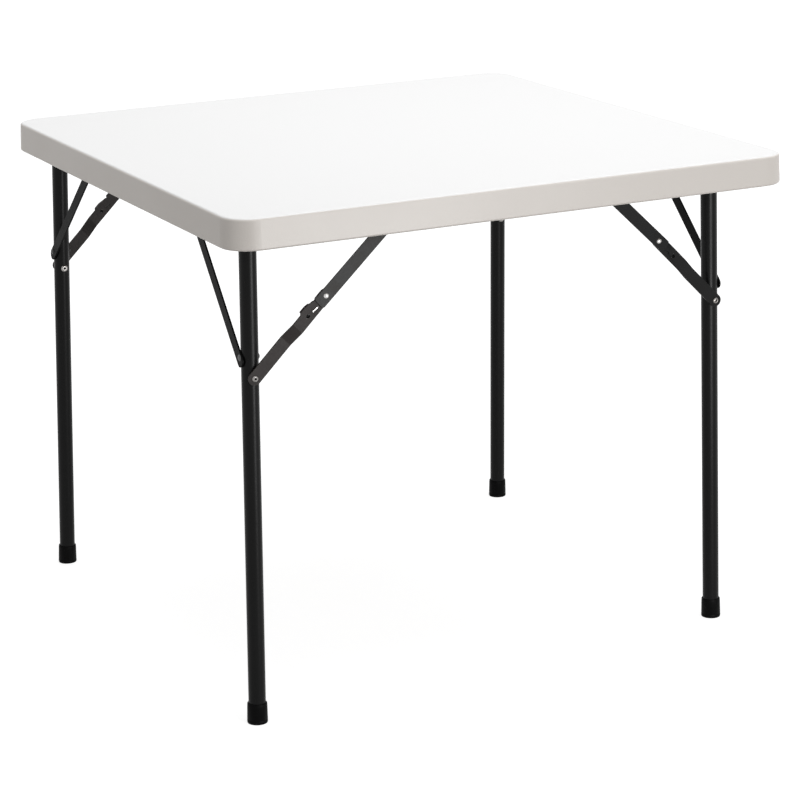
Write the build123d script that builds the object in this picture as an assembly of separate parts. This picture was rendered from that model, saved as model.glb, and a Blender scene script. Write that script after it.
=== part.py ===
from build123d import *

import os
from collections import defaultdict, namedtuple
from math import cos, radians, sin, sqrt, tan

# Folding card table with a blow-moulded square top and two pairs of round tube legs.
# Millimetres, +Z up, origin on the floor under the middle of the top.
# X runs along the front edge, Y from the front edge to the back edge.
# The left and right leg pairs each fold inwards about an axis along Y.

# Overall sizes
table_side = 864.0
table_height = 716.0

# Blow-moulded top
corner_radius = 42.0
rim_height = 43.0
rim_width = 22.0
rim_draft_angle = 2.5
top_edge_radius = 4.0
rim_foot_radius = 3.0
recess_corner_radius = 22.0
recess_edge_radius = 4.0
panel_thickness = 12.0
skin_thickness = 2.6

# Kiss-off dimples that join the two skins of the panel
dimple_rows = 6
dimple_margin = 130.0
dimple_mouth_radius = 12.0
dimple_tip_radius = 7.0

# Leg frames
tube_diameter = 24.0
tube_wall = 1.2
left_hinge_inset = 51.3
right_hinge_inset = 66.3
hinge_drop = 28.5
nest_step = 1.5
left_leg_inset = 69.5
right_leg_inset = 113.7
splay_angle = 1.53
left_lean_angle = 1.45
right_lean_angle = 0.2
cross_tube_overhang = 16.0
cope_trim = 4.0
plug_flange = 2.0
plug_insert = 10.0
plug_edge_radius = 0.8

# Feet
foot_height = 28.5
foot_base_diameter = 28.8
foot_mouth_diameter = 27.6
foot_sole = 5.0
foot_lip_radius = 1.0
foot_base_radius = 1.2

# Fixed braces between each leg and its cross tube
brace_width = 16.5
brace_thickness = 2.5
brace_drop = 177.0
brace_reach = 175.0
brace_tuck = 5.0
brace_rivet_rise = 5.0
brace_tab_length = 22.0
brace_tab_corner = 3.0

# Folding braces
pivot_drop = 198.5
bracket_reach = 202.5
over_centre_angle = 1.6
link_width = 18.5
link_thickness = 2.5
link_joggle = 5.0
joggle_start = 65.0
joggle_run = 22.0
joggle_bend_radius = 3.0
link_end_corner = 3.0
elbow_overlap = 15.0
shoulder_height = 2.6
shoulder_start = 40.0
shoulder_end = 20.5
notch_depth = 1.4
notch_back = 15.0
stop_flange_depth = 3.0
stop_flange_thickness = 1.6
pin_hole_radius = 2.8
pin_hole_back = 36.5
detent_slot_length = 10.0
detent_slot_width = 2.2
detent_slot_back = 23.0
detent_slot_offset = -2.2
detent_slot_angle = -8.0

# Spacer washer between each leg and its lower link
washer_radius = 7.5
washer_height = 2.0

# Rivets
rivet_radius = 3.0
rivet_head_radius = 4.5
rivet_head_height = 2.1
rivet_tail_radius = 5.2
rivet_tail_height = 2.0
elbow_head_radius = 3.9
elbow_head_height = 2.1
elbow_tail_height = 1.6
brace_rivet_radius = 2.4
brace_rivet_head_radius = 4.6
brace_rivet_head_height = 2.0

# Steel straps that hold the cross tubes in their moulded saddles
strap_width = 24.0
strap_thickness = 2.0
strap_offset = 36.0
strap_foot_length = 12.0
saddle_margin = 2.0
saddle_height_above_axis = 4.0

# Steel brackets that carry the upper links
bracket_thickness = 2.5
bracket_length = 48.0
bracket_depth = 14.5
bracket_ear_radius = 11.0
bracket_bend_radius = 2.0

# Screws
screw_radius = 1.9
screw_head_radius = 3.8
screw_head_height = 2.2
screw_depth = 8.0
screw_edge_radius = 0.6
saddle_screw_depth = 11.0

# Clearances
fit_gap = 0.08
seat_gap = 0.05
slip_gap = 0.2
swing_gap = 0.3
overrun = 5.0

# Places that follow from the sizes above
rim_bottom = table_height - rim_height
recess_ceiling = table_height - panel_thickness
recess_side = table_side - 2 * rim_width
tube_radius = tube_diameter / 2
bore_radius = tube_radius - tube_wall
dimple_pitch = (recess_side - 2 * dimple_margin) / (dimple_rows - 1)

# Everything is made at the right back corner and mirrored from there
SIDE_SIGNS = {"left": -1, "right": 1}
END_SIGNS = {"front": -1, "back": 1}

# Layers across one folding brace, measured outwards from the leg's axis
washer_top = tube_radius + washer_height
lower_link_in = washer_top + slip_gap
lower_link_out = lower_link_in + link_thickness
elbow_lower_in = lower_link_in + link_joggle
elbow_lower_out = elbow_lower_in + link_thickness
upper_link_in = elbow_lower_out + swing_gap
upper_link_out = upper_link_in + link_thickness
ear_in = upper_link_out + slip_gap
ear_out = ear_in + bracket_thickness


# One leg pair: its hinge and leg places, and its folding brace in a frame with the
# hinge as origin, X inwards and Y up
Pair = namedtuple("Pair", "side hinge_x hinge_z spread lean pivot bracket elbow lower upper")


def plan_pair(side, hinge_inset, hinge_height, leg_inset, lean_angle):
    """Places and link lengths of one leg pair."""
    lean = radians(lean_angle)
    pivot = Vector(-pivot_drop * sin(lean), -pivot_drop * cos(lean))
    bracket = Vector(bracket_reach, 0)
    span = (bracket - pivot).length
    # Folded flat, both links lie on one line, so their lengths differ by this much.
    excess = bracket_reach - pivot_drop
    squeeze = 2 * (1 + cos(radians(over_centre_angle)))
    upper = sqrt(excess**2 / 4 + (span**2 - excess**2) / squeeze) - excess / 2
    lower = upper + excess
    along = (span**2 + lower**2 - upper**2) / (2 * span)
    rise = sqrt(max(lower**2 - along**2, 0))
    line = (bracket - pivot).normalized()
    elbow = pivot + line * along + Vector(-line.Y, line.X) * rise
    return Pair(
        side=side,
        hinge_x=table_side / 2 - hinge_inset,
        hinge_z=hinge_height,
        spread=table_side / 2 - leg_inset,
        lean=lean_angle,
        pivot=pivot,
        bracket=bracket,
        elbow=elbow,
        lower=lower,
        upper=upper,
    )


left_hinge_height = table_height - hinge_drop
right_hinge_height = left_hinge_height + nest_step
PAIRS = (
    plan_pair("left", left_hinge_inset, left_hinge_height, left_leg_inset, left_lean_angle),
    plan_pair("right", right_hinge_inset, right_hinge_height, right_leg_inset, right_lean_angle),
)


def export(node, shape):
    """Write one node's solids to its STEP file."""
    solids = ShapeList(shape.solids())
    body = solids[0] if len(solids) == 1 else Compound(children=list(solids))
    export_step(body, f"parts/{node}.step")


def to_corner(shape, side, end="back"):
    """Mirror a shape made at the right back corner to another corner."""
    if SIDE_SIGNS[side] < 0:
        shape = mirror(shape, about=Plane.YZ)
    if END_SIGNS[end] < 0:
        shape = mirror(shape, about=Plane.XZ)
    return shape


def rounded_block(side, radius, low, high, draft=0.0):
    """A square block with rounded corners between two heights, narrower towards its top."""
    outline = Pos(0, 0, low) * RectangleRounded(side, side, radius)
    return extrude(outline, amount=high - low, taper=draft)


def upright(radius, low, high):
    """A round bar along Z between two heights."""
    return Pos(0, 0, low) * extrude(Circle(radius), amount=high - low)


def along_y(radius, low, high):
    """A round bar along Y between two places."""
    return Rot(-90, 0, 0) * upright(radius, low, high)


def along_x(radius, low, high):
    """A round bar along X between two places."""
    return Rot(0, 90, 0) * upright(radius, low, high)


def dome(radius, height):
    """A rivet head on the XY plane, rounded towards +Z."""
    ball_radius = (radius**2 + height**2) / (2 * height)
    ball = Pos(0, 0, height - ball_radius) * Sphere(ball_radius)
    return ball & upright(radius + overrun, 0, height + overrun)


def rivet(shank_radius, low, high, head_radius, head_height, tail_radius, tail_height):
    """A rivet along Z: shank between two heights, head above it and tail below it."""
    shank = upright(shank_radius, low, high)
    head = Pos(0, 0, high) * dome(head_radius, head_height)
    tail = Pos(0, 0, low) * Rot(180, 0, 0) * dome(tail_radius, tail_height)
    return shank + head + tail


def pan_screw(depth):
    """A screw under the XY plane of its seat: head below it and shank above it."""
    head = Pos(0, 0, -screw_head_height) * Cylinder(
        screw_head_radius, screw_head_height, align=(Align.CENTER, Align.CENTER, Align.MIN)
    )
    head = fillet(head.edges().group_by(Axis.Z)[0], screw_edge_radius)
    return head + upright(screw_radius, 0, depth)


def saddle_places():
    """Centre of each moulded saddle, with the height of its hinge."""
    for pair in PAIRS:
        for end_sign in END_SIGNS.values():
            x = SIDE_SIGNS[pair.side] * pair.hinge_x
            y = end_sign * (pair.spread - strap_offset)
            yield x, y, pair.hinge_z


def bracket_places():
    """Middle of each bracket's flange, with the line of its screws."""
    for pair in PAIRS:
        for end_sign in END_SIGNS.values():
            x = SIDE_SIGNS[pair.side] * (pair.hinge_x - bracket_reach)
            y = end_sign * (pivot_y(pair) + ear_out - bracket_depth / 2)
            screw_y = end_sign * (pivot_y(pair) + bracket_screw_y)
            yield x, y, screw_y


def pivot_y(pair):
    """Distance from the middle of the table to a leg's axis at the folding brace's pivot."""
    return leg_y(pair, pivot_drop)


saddle_length = 2 * (tube_radius + swing_gap + strap_thickness + strap_foot_length + saddle_margin)
saddle_screw_x = tube_radius + swing_gap + strap_thickness + strap_foot_length / 2
bracket_screw_x = bracket_length / 2 - 2 * screw_head_radius
bracket_screw_y = (ear_in + ear_out - bracket_depth) / 2


def make_tabletop():
    """The hollow moulded top with its rim, underside recess, dimples, saddles and screw holes."""
    top = rounded_block(table_side, corner_radius, rim_bottom, table_height, rim_draft_angle)
    top = fillet(top.edges().group_by(Axis.Z)[-1], top_edge_radius)
    top = fillet(top.edges().group_by(Axis.Z)[0], rim_foot_radius)
    recess = rounded_block(
        recess_side, recess_corner_radius, rim_bottom, recess_ceiling, rim_draft_angle
    )
    recess = fillet(recess.edges().group_by(Axis.Z)[-1], recess_edge_radius)
    top -= recess
    top -= make_cavity()

    saddle_width = strap_width + 2 * saddle_margin
    saddle_hole = upright(screw_radius + seat_gap, -overrun, saddle_screw_depth + seat_gap)
    for x, y, hinge_z in saddle_places():
        low = hinge_z + saddle_height_above_axis
        height = recess_ceiling + skin_thickness - low
        block = Box(saddle_length, saddle_width, height, align=(Align.CENTER, Align.CENTER, Align.MIN))
        groove = along_y(tube_radius + swing_gap, -saddle_width, saddle_width)
        top += Pos(x, y, low) * block - Pos(x, y, hinge_z) * groove
        for sign in (-1, 1):
            top -= Pos(x + sign * saddle_screw_x, y, low) * saddle_hole

    bracket_hole = upright(screw_radius + seat_gap, -overrun, screw_depth + seat_gap)
    for x, _, screw_y in bracket_places():
        for sign in (-1, 1):
            top -= Pos(x + sign * bracket_screw_x, screw_y, recess_ceiling) * bracket_hole

    for x, y in dimple_places():
        top -= dimple(x, y, dimple_mouth_radius, dimple_tip_radius, table_height - 2 * skin_thickness)
    return top


def dimple_places():
    """Centres of the kiss-off dimples, on a square grid."""
    first = -(dimple_rows - 1) / 2 * dimple_pitch
    for row in range(dimple_rows):
        for column in range(dimple_rows):
            yield first + column * dimple_pitch, first + row * dimple_pitch


def dimple(x, y, mouth, tip, top_height):
    """A tapered round pit that rises from the recess ceiling."""
    height = top_height - recess_ceiling
    pit = Cone(mouth, tip, height, align=(Align.CENTER, Align.CENTER, Align.MIN))
    return Pos(x, y, recess_ceiling) * pit


def make_cavity():
    """The air space between the skins, less the kiss-off posts and the solid screw pads."""
    outer_side = table_side - 2 * skin_thickness
    air = rounded_block(
        outer_side,
        corner_radius - skin_thickness,
        rim_bottom + skin_thickness,
        table_height - skin_thickness,
        rim_draft_angle,
    )
    air -= rounded_block(
        recess_side + 2 * skin_thickness,
        recess_corner_radius + skin_thickness,
        rim_bottom,
        recess_ceiling + skin_thickness,
        rim_draft_angle,
    )
    pad_z = table_height - panel_thickness / 2
    for x, y, _ in saddle_places():
        air -= Pos(x, y, pad_z) * Box(
            saddle_length + 2 * skin_thickness, strap_width + 4 * skin_thickness, panel_thickness
        )
    for x, y, _ in bracket_places():
        air -= Pos(x, y, pad_z) * Box(
            bracket_length + 2 * skin_thickness, bracket_depth + 2 * skin_thickness, panel_thickness
        )
    for x, y in dimple_places():
        air -= dimple(
            x,
            y,
            dimple_mouth_radius + skin_thickness,
            dimple_tip_radius + skin_thickness,
            table_height,
        )
    return air


def make_strap():
    """A steel strap bent round the cross tube, with its two feet on the saddle."""
    inner = tube_radius + swing_gap
    outer = inner + strap_thickness
    seat = saddle_height_above_axis
    foot_end = outer + strap_foot_length
    loop = Circle(outer) + Pos(0, seat / 2) * Rectangle(2 * outer, seat)
    feet = Pos(0, seat - strap_thickness / 2) * Rectangle(2 * foot_end, strap_thickness)
    section = loop + feet - Circle(inner) - Pos(0, seat / 2 + outer / 2) * Rectangle(2 * inner, outer)
    section -= Pos(0, seat + outer / 2) * Rectangle(2 * foot_end + overrun, outer)
    strap = extrude(Plane.XZ * section, amount=strap_width / 2, both=True)
    for sign in (-1, 1):
        hole = upright(screw_radius + fit_gap, -overrun, seat + overrun)
        strap -= Pos(sign * saddle_screw_x, 0, 0) * hole
    return strap


def make_bracket(pair):
    """The bent steel plate that carries one upper link."""
    drop = recess_ceiling - pair.hinge_z
    outline = Circle(bracket_ear_radius)
    outline += Pos(0, drop / 2) * Rectangle(2 * bracket_ear_radius, drop)
    shoulder = bracket_thickness + bracket_bend_radius
    outline += Pos(0, drop - shoulder / 2) * Rectangle(bracket_length, shoulder)
    outline -= Circle(rivet_radius + fit_gap)
    ear = extrude(Plane.XZ.offset(-ear_out) * outline, amount=bracket_thickness)
    flange = Pos(0, ear_out - bracket_depth / 2, drop - bracket_thickness / 2) * Box(
        bracket_length, bracket_depth, bracket_thickness
    )
    bracket = ear + flange
    edge = bracket.edges().filter_by(Axis.X)
    edge = edge.sort_by_distance((0, ear_out, drop))[0]
    bracket = fillet(edge, bracket_bend_radius)
    for sign in (-1, 1):
        hole = upright(screw_radius + fit_gap, 0, drop + overrun)
        bracket -= Pos(sign * bracket_screw_x, bracket_screw_y, 0) * hole
    return Pos(pair.hinge_x - bracket_reach, pivot_y(pair), pair.hinge_z) * bracket


def make_bracket_rivet(pair):
    """The rivet that pins one upper link to its bracket."""
    pin = rivet(
        rivet_radius,
        upper_link_in - slip_gap,
        ear_out,
        rivet_head_radius,
        rivet_head_height,
        rivet_tail_radius,
        elbow_tail_height,
    )
    place = Pos(pair.hinge_x - bracket_reach, pivot_y(pair), pair.hinge_z)
    return place * Rot(-90, 0, 0) * pin


def pair_location(pair):
    """Place of a leg pair's own frame, which leans outwards about the hinge."""
    return Pos(pair.hinge_x, 0, pair.hinge_z) * Rot(0, -pair.lean, 0)


def leg_plane(pair):
    """A leg's own plane in the pair's frame: origin on the hinge and Z up along the leg."""
    splay = radians(splay_angle)
    up = Vector(0, -sin(splay), cos(splay))
    return Plane(origin=(0, pair.spread, 0), x_dir=(1, 0, 0), z_dir=up)


def leg_length(pair):
    """Distance along a leg from its hinge to the floor."""
    return pair.hinge_z / cos(radians(pair.lean)) / cos(radians(splay_angle))


def leg_y(pair, drop):
    """Distance from the middle of the table to a leg's axis, that far below the hinge."""
    return pair.spread + drop * tan(radians(splay_angle))


def brace_head_y(pair):
    """Distance from the middle to the fixed brace's tab under the cross tube."""
    share = 1 - (tube_radius + brace_thickness) / brace_drop
    foot_y = leg_y(pair, brace_drop)
    return foot_y - (brace_reach + foot_y - pair.spread) * share


def make_cross_tube(pair):
    """The hinge tube of one pair in the pair's frame, with its brace rivet holes."""
    half = pair.spread + cross_tube_overhang
    tube = along_y(tube_radius, -half, half) - along_y(bore_radius, -half, half)
    for sign in (-1, 1):
        hole = upright(brace_rivet_radius + fit_gap, -tube_diameter, tube_diameter)
        tube -= Pos(0, sign * brace_head_y(pair), 0) * hole
    return tube


def make_tube_plug(pair):
    """The plastic plug in the back end of a cross tube."""
    half = pair.spread + cross_tube_overhang
    flange = along_y(tube_radius, half, half + plug_flange)
    flange = fillet(flange.edges().group_by(Axis.Y)[-1], plug_edge_radius)
    return flange + along_y(bore_radius - seat_gap, half - plug_insert, half)


def make_leg(pair):
    """One leg tube in the pair's frame, coped to the cross tube and drilled for its rivets."""
    length = leg_length(pair) - foot_sole
    tube = upright(tube_radius, -length, -cope_trim) - upright(bore_radius, -length, 0)
    tube = leg_plane(pair).location * tube
    tube -= along_y(tube_radius + seat_gap, 0, pair.spread + tube_diameter)
    pivot_hole = along_y(rivet_radius + fit_gap, -tube_diameter, tube_diameter)
    tube -= Pos(0, pivot_y(pair), -pivot_drop) * pivot_hole
    brace_hole = along_x(brace_rivet_radius + fit_gap, -tube_diameter, tube_diameter)
    tube -= brace_rivet_place(pair) * brace_hole
    return tube


def make_foot(pair):
    """A moulded cap on a leg's lower end, cut flat where it meets the floor."""
    floor = -leg_length(pair) - overrun
    mouth = -leg_length(pair) + foot_height
    seat = -leg_length(pair) + foot_sole
    profile = Polyline(
        (0, floor),
        (foot_base_diameter / 2, floor),
        (foot_base_diameter / 2, floor + overrun + foot_base_radius),
        (foot_mouth_diameter / 2, mouth),
        (0, mouth),
        close=True,
    )
    cap = revolve(Plane.XZ * make_face(profile), Axis.Z)
    cap = fillet(cap.edges().group_by(Axis.Z)[-1], foot_lip_radius)
    cap -= upright(tube_radius + seat_gap, seat, mouth + overrun)
    cap = pair_location(pair) * leg_plane(pair).location * cap
    slab = Box(2 * table_side, 2 * table_side, 2 * overrun, align=(Align.CENTER, Align.CENTER, Align.MAX))
    cap = cap - slab
    return chamfer(cap.edges().group_by(Axis.Z)[0], foot_base_radius / 2)


def brace_rivet_place(pair):
    """Place on a leg's axis of its fixed brace's rivet, in the pair's frame."""
    drop = brace_drop - brace_rivet_rise
    return Pos(0, leg_y(pair, drop), -drop)


def make_fixed_brace(pair):
    """The flat bar from a leg up to a tab under the cross tube, in the pair's frame."""
    face_x = tube_radius + slip_gap
    low = Vector(face_x, leg_y(pair, brace_drop), -brace_drop)
    high = Vector(face_x - brace_tuck, brace_head_y(pair), -tube_radius - brace_thickness)
    direction = (high - low).normalized()
    length = (high - low).length + brace_width
    bar = Circle(brace_width / 2)
    bar += Pos(length / 2, 0) * Rectangle(length, brace_width)
    across = Vector(1, 0, 0) - direction * direction.X
    brace = extrude(Plane(origin=low, x_dir=direction, z_dir=across) * bar, amount=brace_thickness)
    brace -= brace_rivet_place(pair) * along_x(brace_rivet_radius + fit_gap, 0, tube_diameter)
    tab_top = -tube_radius - seat_gap
    brace -= Pos(0, 0, tab_top) * Box(
        2 * brace_reach, 2 * table_side, 2 * brace_width, align=(Align.CENTER, Align.CENTER, Align.MIN)
    )
    tab_width = 2 * (high.X + brace_thickness)
    tab = RectangleRounded(tab_width, brace_tab_length, brace_tab_corner)
    tab -= Circle(brace_rivet_radius + fit_gap)
    return brace + extrude(Pos(0, high.Y, tab_top) * tab, amount=-brace_thickness)


def brace_rivet(head_seat):
    """A rivet through a tube and a fixed brace, with its head above +Z."""
    return rivet(
        brace_rivet_radius,
        -tube_radius - seat_gap,
        head_seat,
        brace_rivet_head_radius,
        brace_rivet_head_height,
        brace_rivet_head_radius,
        brace_rivet_head_height,
    )


def make_brace_rivets(pair):
    """The two rivets of a fixed brace, in the pair's frame."""
    low_pin = brace_rivet(tube_radius + brace_thickness + swing_gap)
    high_pin = brace_rivet(tube_radius + brace_thickness + 2 * seat_gap)
    low = brace_rivet_place(pair) * Rot(0, 90, 0) * low_pin
    high = Pos(0, brace_head_y(pair), 0) * Rot(180, 0, 0) * high_pin
    return [low, high]


def make_pivot_rivet(pair):
    """The rivet through a leg, its washer and the lower link, in the pair's frame."""
    tail_seat = tube_radius + rivet_tail_radius * tan(radians(splay_angle)) + seat_gap
    pin = rivet(
        rivet_radius,
        -tail_seat,
        lower_link_out + slip_gap,
        rivet_head_radius,
        rivet_head_height,
        rivet_tail_radius,
        rivet_tail_height,
    )
    return Pos(0, pivot_y(pair), -pivot_drop) * Rot(-90, 0, 0) * pin


def make_pivot_washer(pair):
    """The spacer between a leg and its lower link, hollowed to sit on the tube."""
    ring = along_y(washer_radius, tube_radius / 2, washer_top)
    ring -= along_y(rivet_radius + fit_gap, 0, washer_top + overrun)
    washer = Pos(0, pivot_y(pair), -pivot_drop) * ring
    column = upright(tube_radius + seat_gap, -2 * pivot_drop, 0)
    return washer - leg_plane(pair).location * column


def link_location(pair, start, finish):
    """Place of a link: X from start to finish, Y towards the corner, Z outwards."""
    direction = (finish - start).normalized()
    origin = (pair.hinge_x - start.X, pivot_y(pair), pair.hinge_z + start.Y)
    return Plane(origin=origin, x_dir=(-direction.X, 0, direction.Y), z_dir=(0, 1, 0)).location


def make_lower_link(pair):
    """The joggled lower link of a folding brace."""
    half = link_width / 2
    end = pair.lower
    outline = Circle(half)
    outline += Pos(end / 2, 0) * Rectangle(end, link_width)
    outline += Pos(end, 0) * Circle(half)
    crest = half + shoulder_height
    shoulder = Polyline(
        (end - shoulder_start - shoulder_height, half),
        (end - shoulder_start, crest),
        (end - (shoulder_start + shoulder_end) / 2, crest),
        (end - shoulder_end + notch_depth, half),
        (end - shoulder_end, 0),
        (end - shoulder_start, 0),
        close=True,
    )
    outline += make_face(shoulder)
    notch_radius = 2 * notch_depth
    outline -= Pos(end - notch_back, half + notch_radius - notch_depth) * Circle(notch_radius)
    outline -= Circle(rivet_radius + fit_gap)
    outline -= Pos(end, 0) * Circle(rivet_radius + fit_gap)
    outline -= Pos(end - pin_hole_back, 0) * Circle(pin_hole_radius)
    slot = Rot(0, 0, detent_slot_angle) * SlotOverall(detent_slot_length, detent_slot_width)
    outline -= Pos(end - detent_slot_back, detent_slot_offset) * slot
    plate = Pos(0, 0, lower_link_in - overrun) * extrude(
        outline, amount=elbow_lower_out - lower_link_in + 2 * overrun
    )

    first = joggle_start
    last = joggle_start + joggle_run
    side_view = Polyline(
        (-link_width, lower_link_in),
        (first, lower_link_in),
        (last, elbow_lower_in),
        (end + link_width, elbow_lower_in),
        (end + link_width, elbow_lower_out),
        (last, elbow_lower_out),
        (first, lower_link_out),
        (-link_width, lower_link_out),
        close=True,
    )
    strip = make_face(side_view)
    bends = [
        corner
        for corner in strip.vertices()
        if min(abs(corner.X - first), abs(corner.X - last)) < seat_gap
    ]
    strip = fillet(bends, joggle_bend_radius)
    strip = extrude(Plane.XZ * strip, amount=link_width, both=True)
    flange_middle = end - (shoulder_start + shoulder_end) / 2
    flange = Pos(flange_middle, crest - stop_flange_thickness / 2, elbow_lower_in) * Box(
        shoulder_start - shoulder_end,
        stop_flange_thickness,
        stop_flange_depth,
        align=(Align.CENTER, Align.CENTER, Align.MAX),
    )
    return link_location(pair, pair.pivot, pair.elbow) * (plate & (strip + flange))


def make_upper_link(pair):
    """The straight upper link, square past the elbow and round at its bracket."""
    length = pair.upper + elbow_overlap
    bar = Pos(length / 2 - elbow_overlap, 0) * Rectangle(length, link_width)
    corners = bar.vertices().group_by(Axis.X)[0]
    bar = fillet(corners, link_end_corner)
    bar += Pos(pair.upper, 0) * Circle(link_width / 2)
    bar -= Circle(rivet_radius + fit_gap)
    bar -= Pos(pair.upper, 0) * Circle(rivet_radius + fit_gap)
    link = Pos(0, 0, upper_link_in) * extrude(bar, amount=link_thickness)
    return link_location(pair, pair.elbow, pair.bracket) * link


def make_elbow_head(pair):
    """The outer half of the elbow rivet, which stays with the upper link."""
    head = Pos(0, 0, upper_link_out) * dome(elbow_head_radius, elbow_head_height)
    head += upright(rivet_radius, upper_link_in, upper_link_out)
    return link_location(pair, pair.elbow, pair.bracket) * head


def make_elbow_tail(pair):
    """The inner half of the elbow rivet, which stays with the lower link."""
    tail = Pos(0, 0, elbow_lower_in) * Rot(180, 0, 0) * dome(rivet_tail_radius, elbow_tail_height)
    tail += upright(rivet_radius, elbow_lower_in, elbow_lower_out)
    return link_location(pair, pair.elbow, pair.bracket) * tail


def add_corner(pair, end, shared):
    """Write one corner's own nodes and add its fasteners to the shared ones."""
    side = pair.side
    at_hinge = pair_location(pair)
    corner = f"{end}_{side}"

    own = {
        "hinge_strap": Pos(pair.hinge_x, pair.spread - strap_offset, pair.hinge_z) * make_strap(),
        "brace_bracket": make_bracket(pair),
        "leg": at_hinge * make_leg(pair),
        "foot": make_foot(pair),
        "fixed_brace": at_hinge * make_fixed_brace(pair),
        "lower_link": make_lower_link(pair),
        "upper_link": make_upper_link(pair),
        "elbow_rivet_tail": make_elbow_tail(pair),
        "elbow_rivet_head": make_elbow_head(pair),
    }
    for name, shape in own.items():
        export(f"{name}_{corner}", to_corner(shape, side, end))

    strap_seat = pair.hinge_z + saddle_height_above_axis - strap_thickness
    bracket_seat = recess_ceiling - bracket_thickness
    for sign in (-1, 1):
        at_strap = Pos(pair.hinge_x + sign * saddle_screw_x, pair.spread - strap_offset, strap_seat)
        screw_x = pair.hinge_x - bracket_reach + sign * bracket_screw_x
        at_bracket = Pos(screw_x, pivot_y(pair) + bracket_screw_y, bracket_seat)
        shared["strap_screws"].append(to_corner(at_strap * pan_screw(saddle_screw_depth), side, end))
        shared["bracket_screws"].append(to_corner(at_bracket * pan_screw(screw_depth), side, end))
    shared["bracket_rivets"].append(to_corner(make_bracket_rivet(pair), side, end))
    for pin in make_brace_rivets(pair):
        shared[f"fixed_brace_rivets_{side}"].append(to_corner(at_hinge * pin, side, end))
    moving = {
        "pivot_rivets": make_pivot_rivet(pair),
        "pivot_washers": make_pivot_washer(pair),
        "cross_tube_plugs": make_tube_plug(pair),
    }
    for name, shape in moving.items():
        shared[f"{name}_{side}"].append(to_corner(at_hinge * shape, side, end))


def main():
    os.makedirs("parts", exist_ok=True)
    export("tabletop", make_tabletop())
    shared = defaultdict(list)
    for pair in PAIRS:
        tube = pair_location(pair) * make_cross_tube(pair)
        export(f"cross_tube_{pair.side}", to_corner(tube, pair.side))
        for end in END_SIGNS:
            add_corner(pair, end, shared)
    for name, shapes in shared.items():
        export(name, Compound(children=[solid for shape in shapes for solid in shape.solids()]))


main()
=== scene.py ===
import math

import bmesh
import bpy
from mathutils import Matrix, Vector


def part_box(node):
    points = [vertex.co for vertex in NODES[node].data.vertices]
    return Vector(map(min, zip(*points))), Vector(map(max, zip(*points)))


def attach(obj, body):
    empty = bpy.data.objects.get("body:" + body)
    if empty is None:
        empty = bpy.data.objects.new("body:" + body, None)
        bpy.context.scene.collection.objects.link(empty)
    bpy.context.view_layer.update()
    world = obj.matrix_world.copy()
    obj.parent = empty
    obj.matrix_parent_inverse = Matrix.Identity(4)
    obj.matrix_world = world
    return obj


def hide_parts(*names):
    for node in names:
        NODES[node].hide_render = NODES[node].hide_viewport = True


# Folding card table: finishes, small formed pieces, floor, light and camera.
# Metres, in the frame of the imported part: X along the front edge, Y to the back, Z up.

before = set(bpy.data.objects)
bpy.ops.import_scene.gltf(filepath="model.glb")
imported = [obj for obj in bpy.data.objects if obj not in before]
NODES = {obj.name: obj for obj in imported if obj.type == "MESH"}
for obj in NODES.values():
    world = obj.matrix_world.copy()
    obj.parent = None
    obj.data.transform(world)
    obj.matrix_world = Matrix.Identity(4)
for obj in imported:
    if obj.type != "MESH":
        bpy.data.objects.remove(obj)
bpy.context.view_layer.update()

SIDES = ("left", "right")
ENDS = ("front", "back")
CORNERS = [f"{end}_{side}" for side in SIDES for end in ENDS]
SIDE_SIGN = {"left": -1, "right": 1}
END_SIGN = {"front": -1, "back": 1}
MM = 0.001

# Camera place and turn, fitted to the photograph
CAMERA_PLACE = Vector((-1.766194, -3.609991, 1.466332))
CAMERA_YAW = math.radians(26.3042)
CAMERA_PITCH = math.radians(16.0866)
CAMERA_ROLL = math.radians(-1.1045)
CAMERA_LENS = 123.217
SENSOR_WIDTH = 36.0

# Sizes shared with the solids
TABLE_SIDE = 864 * MM
TABLE_TOP = 716 * MM
RIM_HEIGHT = 43 * MM
TUBE_RADIUS = 12 * MM
HINGE_INSET = {"left": 51.3 * MM, "right": 66.3 * MM}
HINGE_Z = {"left": 687.5 * MM, "right": 689.0 * MM}
LEG_INSET = {"left": 69.5 * MM, "right": 113.7 * MM}
LEAN = {"left": math.radians(1.45), "right": math.radians(0.2)}
SPLAY = math.radians(1.53)
COPE_TRIM = 4 * MM
LINK_WIDTH = 18.5 * MM
LINK_THICKNESS = 2.5 * MM

# How closely points are merged, and the bend that stays a sharp edge
WELD_DISTANCE = 0.000001
SHARP_ANGLE = math.radians(38)

# Band under the tabletop's face in which the rim's colour turns into a whiter one, a painted highlight on the
# top and its rounded edge
TOP_HIGHLIGHT_LOW = 2.2 * MM
TOP_HIGHLIGHT_HIGH = 0.2 * MM

# Pivot rivets: radius and depth below the end's face, in millimetres. The rolled end runs
# from the middle out to the shank, and the domed end from the shank back to the middle.
ROLLED_END = (
    (0.0, 1.6), (1.5, 1.6), (1.7, 0.3), (2.3, 0.0), (3.4, 0.3),
    (4.2, 1.1), (4.5, 1.8), (4.4, 2.1), (3.0, 2.1),
)
DOMED_END = (
    (3.0, 2.0), (5.1, 2.0), (5.2, 1.7), (4.6, 0.8), (3.5, 0.15),
    (2.6, 0.0), (1.9, 0.3), (1.7, 1.6), (0.0, 1.6),
)
RIVET_STEPS = 28
# Radius inside which each rivet's dish takes the black second finish, as painted shade in its hollow
SHADED_HOLLOW_RADIUS = 1.75 * MM

# Dark plugs that paint the shade in each lower link's hole: radius and depth of the crest below the link's
# face, in millimetres
SHADE_PLUG_CREST = ((0.0, 0.9), (1.4, 1.0), (2.3, 1.3), (2.65, 1.7))
SHADE_PLUG_STEPS = 20
SHADE_PLUG_BACK = 36.5 * MM

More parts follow.
